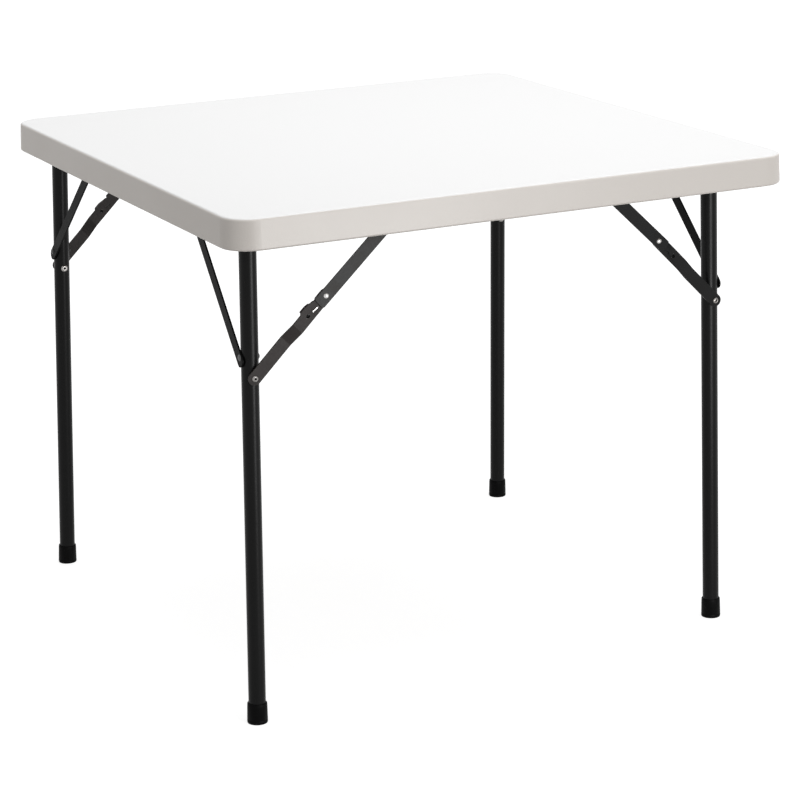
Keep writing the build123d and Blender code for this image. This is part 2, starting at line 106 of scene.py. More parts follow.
# Slots pressed into the lower links
SLOT_LENGTH = 10 * MM
SLOT_WIDTH = 2.2 * MM
SLOT_BACK = 23 * MM
SLOT_OFFSET = 2.2 * MM
SLOT_ANGLE = math.radians(8)
SLOT_DEPTH = 1.2 * MM
SLOT_WEB = 0.6 * MM
SLOT_POINTS = 24

# Room between a link's edge and the cut that straightens the right-hand lower links
TRIM_MARGIN = 0.05 * MM

# Screws under the top: radius and height, in millimetres, from the crest of the head to the shank
SCREW_HEAD = ((1.9, 0.0), (2.9, -0.25), (3.55, -0.8), (3.8, -1.5), (3.8, -2.2), (1.9, -2.2))
SCREW_POINT = 2 * MM
SCREW_STEPS = 24
CROSS_RIM = 0.25 * MM
CROSS_ARM = 1.6 * MM
CROSS_ROOT = 0.55 * MM
CROSS_ARM_SHARE = 0.55
CROSS_DEPTH = 1.3 * MM
CROSS_TAPER_SHARE = 0.6

# Weld beads: a flattened ring whose scales rise and fall, with a slow wander on top
BEAD_RADIUS = 1.9 * MM
BEAD_DEPTH_SHARE = 0.45
BEAD_REACH_SHARE = 1.3
BEAD_SINK = 0.3 * MM
BEAD_POINTS = 8
BEAD_STEPS = 120
BEAD_SCALES = 26
BEAD_SCALE_SHARE = 0.10
BEAD_WANDERS = 7
BEAD_WANDER_SHARE = 0.05
BEAD_WANDER_START = 1.3

# Feet: radius and height in millimetres, from below the sole up the wall and back down the bore
FOOT_OUTLINE = (
    (0.0, -3.0), (13.4, -3.0), (14.15, 0.6), (14.4, 1.6), (14.35, 4.2), (14.1, 4.6), (14.1, 5.3), (14.3, 5.7),
    (13.95, 24.0), (13.75, 27.6), (13.3, 28.4), (12.7, 28.5), (12.08, 27.9), (12.05, 5.0), (0.0, 5.0),
)
FOOT_STEPS = 48
SOLE_HEIGHT = 0.02 * MM

# Moulding seam under the rim
SEAM_INSET = 9 * MM
SEAM_CORNER = 34 * MM
SEAM_CORNER_SEGMENTS = 14
SEAM_WIDTH = 0.9 * MM
SEAM_HEIGHT = 0.7 * MM
SEAM_ROOT = 0.2 * MM

# Floor and room. The camera sees the glow, which lights nothing. Shade and room light reach the table.
FLOOR_SIZE = 60.0
FLOOR_SHADE = 0.4
FLOOR_ROUGHNESS = 0.9
NEAR_REACH = 0.7
NEAR_GLOW = 0.83
FAR_REACH = 3.0
FAR_GLOW = 0.98
ROOM_LIGHT = 0.42

# Sockets of a Mix node that blends two colours
MIX_FIRST = 6
MIX_SECOND = 7
MIX_RESULT = 2

EDGE_SAMPLES = 6


# Shader building blocks

def wire(tree, node, inputs):
    """Set each input, by name or number, to a value or link it from a socket."""
    for label, source in inputs.items():
        if isinstance(source, bpy.types.NodeSocket):
            tree.links.new(source, node.inputs[label])
        else:
            node.inputs[label].default_value = source


def add_node(tree, kind, inputs=None, **settings):
    """A node of that kind, with its settings made and its inputs set or linked."""
    node = tree.nodes.new(kind)
    for name, value in settings.items():
        setattr(node, name, value)
    wire(tree, node, inputs or {})
    return node


def maths(tree, operation, *sources, clamp=False):
    """The result of one sum on values and sockets."""
    terms = dict(enumerate(sources))
    return add_node(tree, "ShaderNodeMath", terms, operation=operation, use_clamp=clamp).outputs[0]


def between(tree, value, low, high):
    """How far a value lies from one limit to another, from 0 to 1."""
    limits = {"Value": value, "From Min": low, "From Max": high}
    return add_node(tree, "ShaderNodeMapRange", limits).outputs["Result"]


def blended(tree, share, first, second):
    """Two colours, blended by a share."""
    sources = {"Factor": share, MIX_FIRST: first, MIX_SECOND: second}
    return add_node(tree, "ShaderNodeMix", sources, data_type="RGBA").outputs[MIX_RESULT]


def object_place(tree):
    """The place on the object, in its own coordinates."""
    return add_node(tree, "ShaderNodeTexCoord").outputs["Object"]


def noise(tree, place, scale, **character):
    """A noise pattern of a given size."""
    inputs = {"Vector": place, "Scale": scale, **character}
    return add_node(tree, "ShaderNodeTexNoise", inputs).outputs["Fac"]


def drifting_roughness(tree, given, pattern):
    """The given roughness, raised and lowered by a pattern."""
    centred = maths(tree, "SUBTRACT", pattern, 0.5)
    return maths(tree, "MULTIPLY_ADD", centred, given["Roughness Drift"], given["Roughness"], clamp=True)


def new_group(name, inputs, outputs):
    """An empty shader group with named sockets: its tree, what it is given and its result node."""
    group = bpy.data.node_groups.new(name, "ShaderNodeTree")
    kinds = {"float": "NodeSocketFloat", "color": "NodeSocketColor"}
    for label, kind, default in inputs:
        socket = group.interface.new_socket(label, in_out="INPUT", socket_type=kinds[kind])
        socket.default_value = default
    for label, kind in outputs:
        group.interface.new_socket(label, in_out="OUTPUT", socket_type=kinds[kind])
    return group, add_node(group, "NodeGroupInput").outputs, add_node(group, "NodeGroupOutput")


def coat_texture_group():
    """The skin of a sprayed powder coat: orange peel, grit and slow drifts in colour and gloss."""
    group, given, result = new_group(
        "coat_texture",
        [
            ("Color", "color", (0.02, 0.02, 0.02, 1)),
            ("Light Color", "color", (0.06, 0.06, 0.06, 1)),
            ("Grit Size", "float", 900.0),
            ("Grit Strength", "float", 0.5),
            ("Roughness", "float", 0.4),
            ("Roughness Drift", "float", 0.1),
        ],
        [("Color", "color"), ("Roughness", "float"), ("Height", "float")],
    )
    place = object_place(group)
    grit = noise(group, place, given["Grit Size"], Detail=3.0, Roughness=0.6)
    peel = noise(group, place, 260.0, Detail=1.0)
    drift = noise(group, place, 14.0, Detail=4.0)
    specks = maths(group, "MULTIPLY", between(group, grit, 0.5, 0.75), given["Grit Strength"])
    relief = maths(group, "MULTIPLY_ADD", grit, 0.45, peel)
    wire(group, result, {
        "Color": blended(group, specks, given["Color"], given["Light Color"]),
        "Roughness": drifting_roughness(group, given, drift),
        "Height": relief,
    })
    return group


def moulded_grain_group():
    """The pebbled skin of moulded plastic, with faint clouds and smears in it."""
    group, given, result = new_group(
        "moulded_grain",
        [
            ("Color", "color", (0.85, 0.84, 0.82, 1)),
            ("Cloud Color", "color", (0.8, 0.79, 0.77, 1)),
            ("Pebble Size", "float", 700.0),
            ("Roughness", "float", 0.45),
            ("Roughness Drift", "float", 0.1),
        ],
        [("Color", "color"), ("Roughness", "float"), ("Height", "float")],
    )
    place = object_place(group)
    cells = {"Vector": place, "Scale": given["Pebble Size"], "Smoothness": 0.6}
    pebble = add_node(group, "ShaderNodeTexVoronoi", cells, feature="SMOOTH_F1").outputs["Distance"]
    wave = noise(group, place, 55.0, Detail=2.0)
    cloud = noise(group, place, 3.5, Detail=5.0, Distortion=0.6)
    clouded = between(group, cloud, 0.42, 0.68)
    relief = maths(group, "MULTIPLY_ADD", pebble, 0.7, wave)
    wire(group, result, {
        "Color": blended(group, clouded, given["Color"], given["Cloud Color"]),
        "Roughness": drifting_roughness(group, given, cloud),
        "Height": relief,
    })
    return group


def steel_marks_group():
    """Bare or thinly coated steel: fine marks and blotches."""
    group, given, result = new_group(
        "steel_marks",
        [
            ("Color", "color", (0.5, 0.5, 0.5, 1)),
            ("Blotch Color", "color", (0.35, 0.33, 0.31, 1)),
            ("Mark Size", "float", 240.0),
            ("Blotch Amount", "float", 0.6),
            ("Roughness", "float", 0.3),
            ("Roughness Drift", "float", 0.2),
        ],
        [("Color", "color"), ("Roughness", "float"), ("Height", "float")],
    )
    place = object_place(group)
    marks = noise(group, place, given["Mark Size"], Detail=6.0, Roughness=0.7)
    blotch = noise(group, place, 38.0, Detail=3.0)
    blotched = maths(group, "MULTIPLY", between(group, blotch, 0.4, 0.7), given["Blotch Amount"])
    wire(group, result, {
        "Color": blended(group, blotched, given["Color"], given["Blotch Color"]),
        "Roughness": drifting_roughness(group, given, marks),
        "Height": marks,
    })
    return group


def rubbed_and_highlit_edge_group():
    """A mask that is 1 where a sharp edge is rubbed bare and carries a painted highlight, broken up by noise.
    """
    group, given, result = new_group(
        "rubbed_and_highlit_edge",
        [("Width", "float", 0.0006), ("Patch Size", "float", 120.0), ("Amount", "float", 0.8)],
        [("Mask", "float")],
    )
    eased = add_node(group, "ShaderNodeBevel", {"Radius": given["Width"]}, samples=EDGE_SAMPLES)
    plain = add_node(group, "ShaderNodeNewGeometry")
    normals = {0: eased.outputs["Normal"], 1: plain.outputs["Normal"]}
    match = add_node(group, "ShaderNodeVectorMath", normals, operation="DOT_PRODUCT").outputs["Value"]
    bend = between(group, match, 0.998, 0.86)
    patch = noise(group, object_place(group), given["Patch Size"], Detail=4.0)
    rubbed_and_highlit = maths(group, "MULTIPLY", bend, between(group, patch, 0.38, 0.58))
    wire(group, result, {"Mask": maths(group, "MULTIPLY", rubbed_and_highlit, given["Amount"], clamp=True)})
    return group


def height_band_group():
    """A mask that rises from 0 to 1 between two heights, for a painted highlight on part of one moulding."""
    group, given, result = new_group(
        "height_band",
        [("Low", "float", 0.7), ("High", "float", 0.71)],
        [("Mask", "float")],
    )
    height = add_node(group, "ShaderNodeSeparateXYZ", {"Vector": object_place(group)}).outputs["Z"]
    limits = {"Value": height, "From Min": given["Low"], "From Max": given["High"]}
    band = add_node(group, "ShaderNodeMapRange", limits, interpolation_type="SMOOTHSTEP")
    wire(group, result, {"Mask": band.outputs["Result"]})
    return group


COAT_TEXTURE = coat_texture_group()
MOULDED_GRAIN = moulded_grain_group()
STEEL_MARKS = steel_marks_group()
RUBBED_AND_HIGHLIT_EDGE = rubbed_and_highlit_edge_group()
HEIGHT_BAND = height_band_group()


def finish_material(name, group, values, bump, bump_depth, metallic=0.0, edge=0.0, gloss=0.5, wear_and_highlight=None):
    """A material whose colour, roughness and relief come from one of the groups above."""
    material = bpy.data.materials.new(name)
    material.use_nodes = True
    tree = material.node_tree
    pattern = add_node(tree, "ShaderNodeGroup", values, node_tree=group).outputs
    colour = worn_and_highlit_colour(tree, pattern["Color"], *wear_and_highlight) if wear_and_highlight else pattern["Color"]
    relief = add_node(
        tree, "ShaderNodeBump", {"Strength": bump, "Distance": bump_depth, "Height": pattern["Height"]}
    )
    if edge:
        eased = add_node(tree, "ShaderNodeBevel", {"Radius": edge}, samples=EDGE_SAMPLES)
        wire(tree, relief, {"Normal": eased.outputs["Normal"]})
    wire(tree, tree.nodes["Principled BSDF"], {
        "Base Color": colour,
        "Roughness": pattern["Roughness"],
        "Normal": relief.outputs["Normal"],
        "Metallic": metallic,
        "Specular IOR Level": gloss,
    })
    return material


def worn_and_highlit_colour(tree, colour, bare_and_highlit, width, amount):
    """The colour with a barer, lighter one along the edges: rubbed-through wear and a painted edge highlight
    in one.
    """
    rub_and_highlight = add_node(tree, "ShaderNodeGroup", {"Width": width, "Amount": amount}, node_tree=RUBBED_AND_HIGHLIT_EDGE)
    return blended(tree, rub_and_highlight.outputs["Mask"], colour, bare_and_highlit)


def paint_highlight_by_height(material, colour, low, high):
    """Blend a material's colour into another one between two heights, as a painted highlight."""
    tree = material.node_tree
    shader = tree.nodes["Principled BSDF"]
    plain = shader.inputs["Base Color"].links[0].from_socket
    band = add_node(tree, "ShaderNodeGroup", {"Low": low, "High": high}, node_tree=HEIGHT_BAND)
    wire(tree, shader, {"Base Color": blended(tree, band.outputs["Mask"], plain, colour)})


def grey(value, warmth=0.0):
    """A linear grey with a little warmth in it."""
    return (value * (1 + warmth), value, value * (1 - warmth), 1)


def link_finish(name, colour, blotch, roughness, gloss, wear_and_highlight):
    """The scuffed coat of a folding brace's links, rubbed bare along the edges, which also carry a painted
    highlight.
    """
    return finish_material(
        name,
        STEEL_MARKS,
        {
            "Color": colour,
            "Blotch Color": blotch,
            "Mark Size": 420.0,
            "Blotch Amount": 0.8,
            "Roughness": roughness,
            "Roughness Drift": 0.25,
        },
        bump=0.5,
        bump_depth=0.0001,
        edge=0.0005,
        gloss=gloss,
        wear_and_highlight=wear_and_highlight,
    )


# Finishes of this table

MOULDED_TOP = finish_material(
    "moulded_top",
    MOULDED_GRAIN,
    {
        "Color": (0.82, 0.77, 0.72, 1),
        "Cloud Color": (0.80, 0.75, 0.70, 1),
        "Pebble Size": 620.0,
        "Roughness": 0.45,
        "Roughness Drift": 0.12,
    },
    bump=0.35,
    bump_depth=0.00025,
)
# Painted highlight: the top face and its rounded edge are whiter than the rim, where the light from above
# falls on them.
paint_highlight_by_height(MOULDED_TOP, grey(0.85), TABLE_TOP - TOP_HIGHLIGHT_LOW, TABLE_TOP - TOP_HIGHLIGHT_HIGH)
BLACK_COAT = finish_material(
    "black_powder_coat",
    COAT_TEXTURE,
    {
        "Color": grey(0.004),
        "Light Color": grey(0.016),
        "Grit Size": 1100.0,
        "Grit Strength": 0.6,
        "Roughness": 0.33,
        "Roughness Drift": 0.14,
    },
    bump=0.5,
    bump_depth=0.00012,
    gloss=0.11,
)
BRACE_COAT = finish_material(
    "black_brace_coat",
    COAT_TEXTURE,
    {
        "Color": grey(0.0055),
        "Light Color": grey(0.014),
        "Grit Size": 1100.0,
        "Grit Strength": 0.5,
        "Roughness": 0.45,
        "Roughness Drift": 0.12,
    },
    bump=0.4,
    bump_depth=0.0001,
    edge=0.0005,
    gloss=0.03,
    wear_and_highlight=(grey(0.04), 0.0005, 0.6),
)
LINK_COAT = link_finish(
    "link_coat",
    grey(0.046),
    grey(0.026, 0.15),
    roughness=0.5,
    gloss=0.15,
    # The light grey along the link's edges is partly bare steel and partly a painted edge highlight.
    wear_and_highlight=(grey(0.4), 0.0006, 0.8),
)
DARK_LINK_COAT = link_finish(
    "dark_link_coat",
    grey(0.009),
    grey(0.005, 0.1),
    roughness=0.42,
    gloss=0.12,
    wear_and_highlight=(grey(0.06), 0.0006, 0.7),
)
BROWNED_LINK_COAT = link_finish(
    "browned_link_coat",
    (0.030, 0.024, 0.0225, 1),
    (0.013, 0.009, 0.008, 1),
    roughness=0.5,
    gloss=0.15,
    wear_and_highlight=(grey(0.3, 0.05), 0.0006, 0.7),
)
BRIGHT_RIVET = finish_material(
    "bright_rivet",
    STEEL_MARKS,
    {
        "Color": grey(0.55, 0.02),
        "Blotch Color": grey(0.3, 0.06),
        "Mark Size": 900.0,
        "Blotch Amount": 0.5,
        "Roughness": 0.3,
        "Roughness Drift": 0.2,
    },
    bump=0.2,
    bump_depth=0.00005,
    metallic=1.0,
)
ROLLED_RIVET = finish_material(
    "rolled_rivet",
    STEEL_MARKS,
    {
        "Color": grey(0.34, 0.03),
        "Blotch Color": grey(0.12, 0.08),
        "Mark Size": 1100.0,
        "Blotch Amount": 0.8,
        "Roughness": 0.28,
        "Roughness Drift": 0.25,
    },
    bump=0.3,
    bump_depth=0.00006,
    metallic=1.0,
)
PAINTED_RIVET = finish_material(
    "painted_rivet",
    STEEL_MARKS,
    {
        "Color": grey(0.16),
        "Blotch Color": grey(0.03),
        "Mark Size": 900.0,
        "Blotch Amount": 0.9,
        "Roughness": 0.4,
        "Roughness Drift": 0.2,
    },
    bump=0.2,
    bump_depth=0.00005,
    metallic=0.6,
    gloss=0.15,
)
DULL_ZINC = finish_material(
    "dull_zinc",
    STEEL_MARKS,
    {
        "Color": grey(0.5),
        "Blotch Color": grey(0.33, 0.05),
        "Mark Size": 700.0,
        "Blotch Amount": 0.6,
        "Roughness": 0.36,
        "Roughness Drift": 0.2,
    },
    bump=0.2,
    bump_depth=0.00005,
    metallic=1.0,
)
WELD_COAT = finish_material(
    "weld_coat",
    COAT_TEXTURE,
    {
        "Color": grey(0.004),
        "Light Color": grey(0.02),
        "Grit Size": 700.0,
        "Grit Strength": 0.8,
        "Roughness": 0.45,
        "Roughness Drift": 0.15,
    },
    bump=0.6,
    bump_depth=0.0002,
    gloss=0.12,
)
FOOT_PLASTIC = finish_material(
    "foot_plastic",
    MOULDED_GRAIN,
    {
        "Color": grey(0.0035),
        "Cloud Color": grey(0.006),
        "Pebble Size": 1500.0,
        "Roughness": 0.5,
        "Roughness Drift": 0.15,
    },
    bump=0.3,
    bump_depth=0.0001,
    gloss=0.04,
)

# Finish of each kind of solid. The longest matching name holds.
FINISHES = {
    "tabletop": MOULDED_TOP,
    "hinge_strap": BRACE_COAT,
    "brace_bracket": BRACE_COAT,
    "strap_screws": DULL_ZINC,
    "bracket_screws": DULL_ZINC,
    "bracket_rivets": BRIGHT_RIVET,
    "cross_tube_plugs": FOOT_PLASTIC,
    "cross_tube": BLACK_COAT,
    "leg": BLACK_COAT,
    "foot": FOOT_PLASTIC,
    "fixed_brace_rivets": PAINTED_RIVET,
    "fixed_brace": BRACE_COAT,
    "pivot_rivets": BRIGHT_RIVET,
    "pivot_washers": BRACE_COAT,
    "upper_link": LINK_COAT,
    "lower_link": BROWNED_LINK_COAT,
    "upper_link_front_right": DARK_LINK_COAT,
    "upper_link_back_right": DARK_LINK_COAT,
    "lower_link_front_right": DARK_LINK_COAT,
    "lower_link_back_right": DARK_LINK_COAT,
    "elbow_rivet": BRIGHT_RIVET,
}


def dress_solids():
    """Give every solid of the part its finish."""
    for name, node in NODES.items():
        kind = max((k for k in FINISHES if name.startswith(k)), key=len)
        node.data.materials.clear()
        node.data.materials.append(FINISHES[kind])


# Formed pieces

def keep_piece(bm, name, material, body, replaced=(), second=None):
    """Turn a bmesh into a piece that rides on a body and may stand for solids."""
    bmesh.ops.remove_doubles(bm, verts=bm.verts, dist=WELD_DISTANCE)
    bmesh.ops.recalc_face_normals(bm, faces=bm.faces)
    mesh = bpy.data.meshes.new(name)
    bm.to_mesh(mesh)
    bm.free()
    mesh.materials.append(material)
    if second:
        mesh.materials.append(second)
    mesh.shade_smooth()
    mesh.set_sharp_from_angle(angle=SHARP_ANGLE)
    piece = bpy.data.objects.new(name, mesh)
    bpy.context.collection.objects.link(piece)
    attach(piece, body)
    if replaced:
        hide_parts(*replaced)


def merged_copy(node):
    """A copy of a solid's mesh with its loose triangles joined."""
    bm = bmesh.new()
    bm.from_mesh(NODES[node].data)
    bmesh.ops.remove_doubles(bm, verts=bm.verts, dist=WELD_DISTANCE)
    return bm


def lumps(node):
    """The box of each separate solid in a node, as (lowest corner, highest corner)."""
    bm = merged_copy(node)
    waiting = set(bm.verts)
    boxes = []
    while waiting:
        front = [waiting.pop()]
        lump = list(front)
        while front:
            near = {edge.other_vert(vert) for vert in front for edge in vert.link_edges}
            front = list(near & waiting)
            waiting -= near
            lump += front
        low = Vector([min(vert.co[axis] for vert in lump) for axis in range(3)])
        high = Vector([max(vert.co[axis] for vert in lump) for axis in range(3)])
        boxes.append((low, high))
    bm.free()
    return sorted(boxes, key=lambda box: tuple(box[0]))


def in_millimetres(points):
    """An outline's points, turned from millimetres to metres."""
    return [(radius * MM, height * MM) for radius, height in points]


def turned(bm, profile, steps, place):
    """Spin a profile of (radius, height) points about Z into a closed round piece at a place."""
    fresh = [bm.verts.new((radius, 0, height)) for radius, height in profile]
    rails = [bm.edges.new(pair) for pair in zip(fresh, fresh[1:])]
    before = set(bm.verts) - set(fresh)
    bmesh.ops.spin(
        bm,
        geom=fresh + rails,
        cent=(0, 0, 0),
        axis=(0, 0, 1),
        angle=math.tau,
        steps=steps,
        use_merge=True,
    )
    made = [vert for vert in bm.verts if vert not in before]
    bmesh.ops.remove_doubles(bm, verts=made, dist=WELD_DISTANCE)
    made = [vert for vert in bm.verts if vert not in before]
    bmesh.ops.transform(bm, matrix=place, verts=made)
    return made


def cut_off(bm, point, direction):
    """Cut away what lies past a plane, and return the edges of the open cut."""
    cut = bmesh.ops.bisect_plane(
        bm,
        geom=list(bm.verts) + list(bm.edges) + list(bm.faces),
        plane_co=point,
        plane_no=direction,
        clear_outer=True,
    )
    return [item for item in cut["geom_cut"] if isinstance(item, bmesh.types.BMEdge)]


def extruded_verts(bm, faces):
    """Extrude faces where they are, and return the new points, ready to be moved."""
    grown = bmesh.ops.extrude_face_region(bm, geom=faces)["geom"]
    return [item for item in grown if isinstance(item, bmesh.types.BMVert)]


def leg_place(side, end):
    """Place of a leg's own frame: origin on the hinge, Z up along the leg and X outwards."""
    sign, way = SIDE_SIGN[side], END_SIGN[end]
    hinge_x = TABLE_SIDE / 2 - HINGE_INSET[side]
    spread = TABLE_SIDE / 2 - LEG_INSET[side]
    at_hinge = Matrix.Translation((sign * hinge_x, 0, HINGE_Z[side]))
    lean = Matrix.Rotation(-sign * LEAN[side], 4, "Y")
    root = Matrix.Translation((0, way * spread, 0))
    splay = Matrix.Rotation(way * SPLAY, 4, "X")
    mirror = Matrix.Diagonal((sign, 1, 1, 1))
    return at_hinge @ lean @ root @ splay @ mirror


def facing(centre, outward):
    """Place with its Z along Y, towards the front or the back."""
    return Matrix.Translation(centre) @ Matrix.Rotation(-outward * math.pi / 2, 4, "X")


def make_pivot_rivets(side):
    """The rivets through one pair's legs: rolled over outside, domed inside, both dished, with painted shade
    in black in each dish's hollow.
    """
    bm = bmesh.new()
    node = f"pivot_rivets_{side}"
    for low, high in lumps(node):
        outward = 1 if low.y > 0 else -1
        centre = (low + high) / 2
        half = (high.y - low.y) / 2
        profile = [(radius, half - depth) for radius, depth in in_millimetres(ROLLED_END)]
        profile += [(radius, depth - half) for radius, depth in in_millimetres(DOMED_END)]
        turned(bm, profile, RIVET_STEPS, facing(centre, outward))
        # Painted shade: the faces in each dish's hollow take the black second finish.
        for face in bm.faces:
            middle = face.calc_center_median() - centre
            if math.hypot(middle.x, middle.z) < SHADED_HOLLOW_RADIUS:
                face.material_index = 1
    name, body = f"dished_rivets_{side}", f"{side}_legs"
    keep_piece(bm, name, ROLLED_RIVET, body, [node], second=FOOT_PLASTIC)


def link_place(corner):
    """Place on a lower link's outer face: origin at the elbow, X back along it, Z outwards."""
    end, side = corner.split("_")
    way = END_SIGN[end]
    low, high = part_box(f"elbow_rivet_tail_{corner}")
    elbow = (Vector(low) + Vector(high)) / 2
    pivots = [(a + b) / 2 for a, b in lumps(f"pivot_rivets_{side}")]
    pivot = next(point for point in pivots if point.y * way > 0)
    back = Vector((pivot.x - elbow.x, 0, pivot.z - elbow.z)).normalized()
    outward = Vector((0, way, 0))
    upward = Vector((-back.z, 0, back.x))
    upward = upward if upward.z > 0 else -upward
    turn = Matrix((back, upward, outward)).transposed().to_4x4()
    face = way * max(abs(low[1]), abs(high[1]))
    return Matrix.Translation((elbow.x, face, elbow.z)) @ turn


def make_hole_shade_plugs():
    """A black plug set into the hole of each lower link, just short of its face, as painted shade in the
    hole.
    """
    for corner in CORNERS:
        bm = bmesh.new()
        profile = [(radius, -depth) for radius, depth in in_millimetres(SHADE_PLUG_CREST)]
        profile += [(profile[-1][0], -LINK_THICKNESS), (0.0, -LINK_THICKNESS)]
        turned(bm, profile, SHADE_PLUG_STEPS, link_place(corner) @ Matrix.Translation((SHADE_PLUG_BACK, 0, 0)))
        keep_piece(bm, f"hole_shade_plug_{corner}", FOOT_PLASTIC, f"lower_link_{corner}")


def make_slot_webs():
    """The thin web left at the bottom of each lower link's pressed slot; the front-left web is bright, a
    painted highlight in that slot.
    """
    reach = SLOT_WIDTH / 2
    for corner in CORNERS:
        bm = bmesh.new()
        outline = []
        for step in range(SLOT_POINTS):
            turn = math.tau * (step + 0.5) / SLOT_POINTS
            shift = math.copysign(SLOT_LENGTH / 2 - reach, math.cos(turn))
            outline.append(bm.verts.new((shift + reach * math.cos(turn), reach * math.sin(turn), 0)))
        bm.faces.new(outline)
        lower = extruded_verts(bm, list(bm.faces))
        bmesh.ops.translate(bm, verts=lower, vec=(0, 0, -SLOT_WEB))
        place = link_place(corner) @ Matrix.Translation((SLOT_BACK, -SLOT_OFFSET, -SLOT_DEPTH))
        place = place @ Matrix.Rotation(SLOT_ANGLE, 4, "Z")
        bmesh.ops.transform(bm, matrix=place, verts=list(bm.verts))
        # Painted highlight: the front-left web is bright zinc, while the others take the dark link coat.
        highlit_or_dark_finish = DULL_ZINC if corner == "front_left" else DARK_LINK_COAT
        keep_piece(bm, f"slot_web_{corner}", highlit_or_dark_finish, f"lower_link_{corner}")


def trim_right_links():
    """The right-hand lower links with straight edges, as the photograph shows them."""
    for end in ENDS:
        node = f"lower_link_{end}_right"
        bm = merged_copy(node)
        place = link_place(f"{end}_right")
        edge = place @ Vector((0, LINK_WIDTH / 2 + TRIM_MARGIN, 0))
        rim = cut_off(bm, edge, place.to_3x3() @ Vector((0, 1, 0)))
        bmesh.ops.holes_fill(bm, edges=rim, sides=0)
        keep_piece(bm, f"straight_{node}", DARK_LINK_COAT, node, [node])


def press_cross(bm, made):
    """Press a tapered cross into the open crest of a screw."""
    ring = {vert for vert in made if abs(vert.co.z) < WELD_DISTANCE}
    rim = [edge for vert in ring for edge in vert.link_edges if edge.other_vert(vert) in ring]
    cap = bmesh.ops.contextual_create(bm, geom=list(set(rim)))["faces"]
    bmesh.ops.inset_region(bm, faces=cap, thickness=CROSS_RIM)
    for vert in cap[0].verts:
        turn = math.atan2(vert.co.y, vert.co.x)
        reach = CROSS_ARM if abs(math.sin(2 * turn)) < CROSS_ARM_SHARE else CROSS_ROOT
        vert.co.x, vert.co.y = reach * math.cos(turn), reach * math.sin(turn)
    pit = extruded_verts(bm, cap)
    bmesh.ops.delete(bm, geom=cap, context="FACES_ONLY")
    bmesh.ops.translate(bm, verts=pit, vec=(0, 0, -CROSS_DEPTH))
    bmesh.ops.scale(bm, verts=pit, vec=(CROSS_TAPER_SHARE, CROSS_TAPER_SHARE, 1.0))


def make_cross_screws(node, name):
    """Pan-head screws with a cross recess, in place of one node's plain ones."""
    bm = bmesh.new()
    for low, high in lumps(node):
        centre = (low + high) / 2
        place = Matrix.Translation((centre.x, centre.y, low.z)) @ Matrix.Rotation(math.pi, 4, "X")
        length = high.z - low.z
        profile = in_millimetres(SCREW_HEAD)
        profile += [(profile[-1][0], SCREW_POINT - length), (0.0, -length)]
        others = set(bm.verts)
        press_cross(bm, turned(bm, profile, SCREW_STEPS, Matrix.Identity(4)))
        screw = [vert for vert in bm.verts if vert not in others]
        bmesh.ops.transform(bm, matrix=place, verts=screw)
    keep_piece(bm, name, DULL_ZINC, "tabletop", [node])


def make_weld_bead(side, end):
    """The weld where a leg meets its cross tube, laid in small overlapping scales."""
    bm = bmesh.new()
    profile = []
    for step in range(BEAD_POINTS + 1):
        turn = math.tau * step / BEAD_POINTS
        out = BEAD_RADIUS * BEAD_DEPTH_SHARE * math.cos(turn)
        profile.append((TUBE_RADIUS + out, BEAD_RADIUS * math.sin(turn)))
    made = turned(bm, profile, BEAD_STEPS, Matrix.Identity(4))
    for vert in made:
        turn = math.atan2(vert.co.y, vert.co.x)
        scale = 1 + BEAD_SCALE_SHARE * math.sin(turn * BEAD_SCALES)
        scale += BEAD_WANDER_SHARE * math.sin(turn * BEAD_WANDERS + BEAD_WANDER_START)
        reach = TUBE_RADIUS + (vert.co.xy.length - TUBE_RADIUS) * scale * BEAD_REACH_SHARE
        drop = max(COPE_TRIM, TUBE_RADIUS * abs(math.sin(turn)))
        vert.co.z = vert.co.z * scale - drop - BEAD_SINK
        vert.co.x, vert.co.y = reach * math.cos(turn), reach * math.sin(turn)
    bmesh.ops.transform(bm, matrix=leg_place(side, end), verts=made)
    keep_piece(bm, f"weld_bead_{end}_{side}", WELD_COAT, f"{side}_legs")


def make_foot_cap(side, end):
    """A moulded foot: a lipped mouth, a straight wall with a step, and a flat sole."""
    bm = bmesh.new()
    length = HINGE_Z[side] / math.cos(LEAN[side]) / math.cos(SPLAY)
    place = leg_place(side, end) @ Matrix.Translation((0, 0, -length))
    turned(bm, in_millimetres(FOOT_OUTLINE), FOOT_STEPS, place)
    rim = cut_off(bm, (0, 0, SOLE_HEIGHT), (0, 0, -1))
    bmesh.ops.contextual_create(bm, geom=rim)
    corner = f"{end}_{side}"
    replaced = [f"foot_{corner}"]
    keep_piece(bm, f"moulded_foot_{corner}", FOOT_PLASTIC, f"{side}_legs", replaced)


def make_rim_seam():
    """The trimmed moulding seam that runs round the underside of the rim."""
    bm = bmesh.new()
    reach = TABLE_SIDE / 2 - SEAM_INSET
    bmesh.ops.create_grid(bm, x_segments=1, y_segments=1, size=reach)
    bmesh.ops.bevel(
        bm,
        geom=list(bm.verts),
        offset=SEAM_CORNER,
        offset_type="OFFSET",
        segments=SEAM_CORNER_SEGMENTS,
        profile=0.5,
        affect="VERTICES",
        material=-1,
    )
    band = list(bm.faces)
    bmesh.ops.inset_region(bm, faces=band, thickness=SEAM_WIDTH, use_boundary=True, use_even_offset=True)
    bmesh.ops.delete(bm, geom=band, context="FACES_ONLY")
    crest = extruded_verts(bm, list(bm.faces))
    bmesh.ops.translate(bm, verts=crest, vec=(0, 0, -SEAM_HEIGHT))
    rim_bottom = TABLE_TOP - RIM_HEIGHT
    bmesh.ops.translate(bm, verts=list(bm.verts), vec=(0, 0, rim_bottom + SEAM_ROOT))
    keep_piece(bm, "moulding_seam", MOULDED_TOP, "tabletop")


# Floor, light and camera

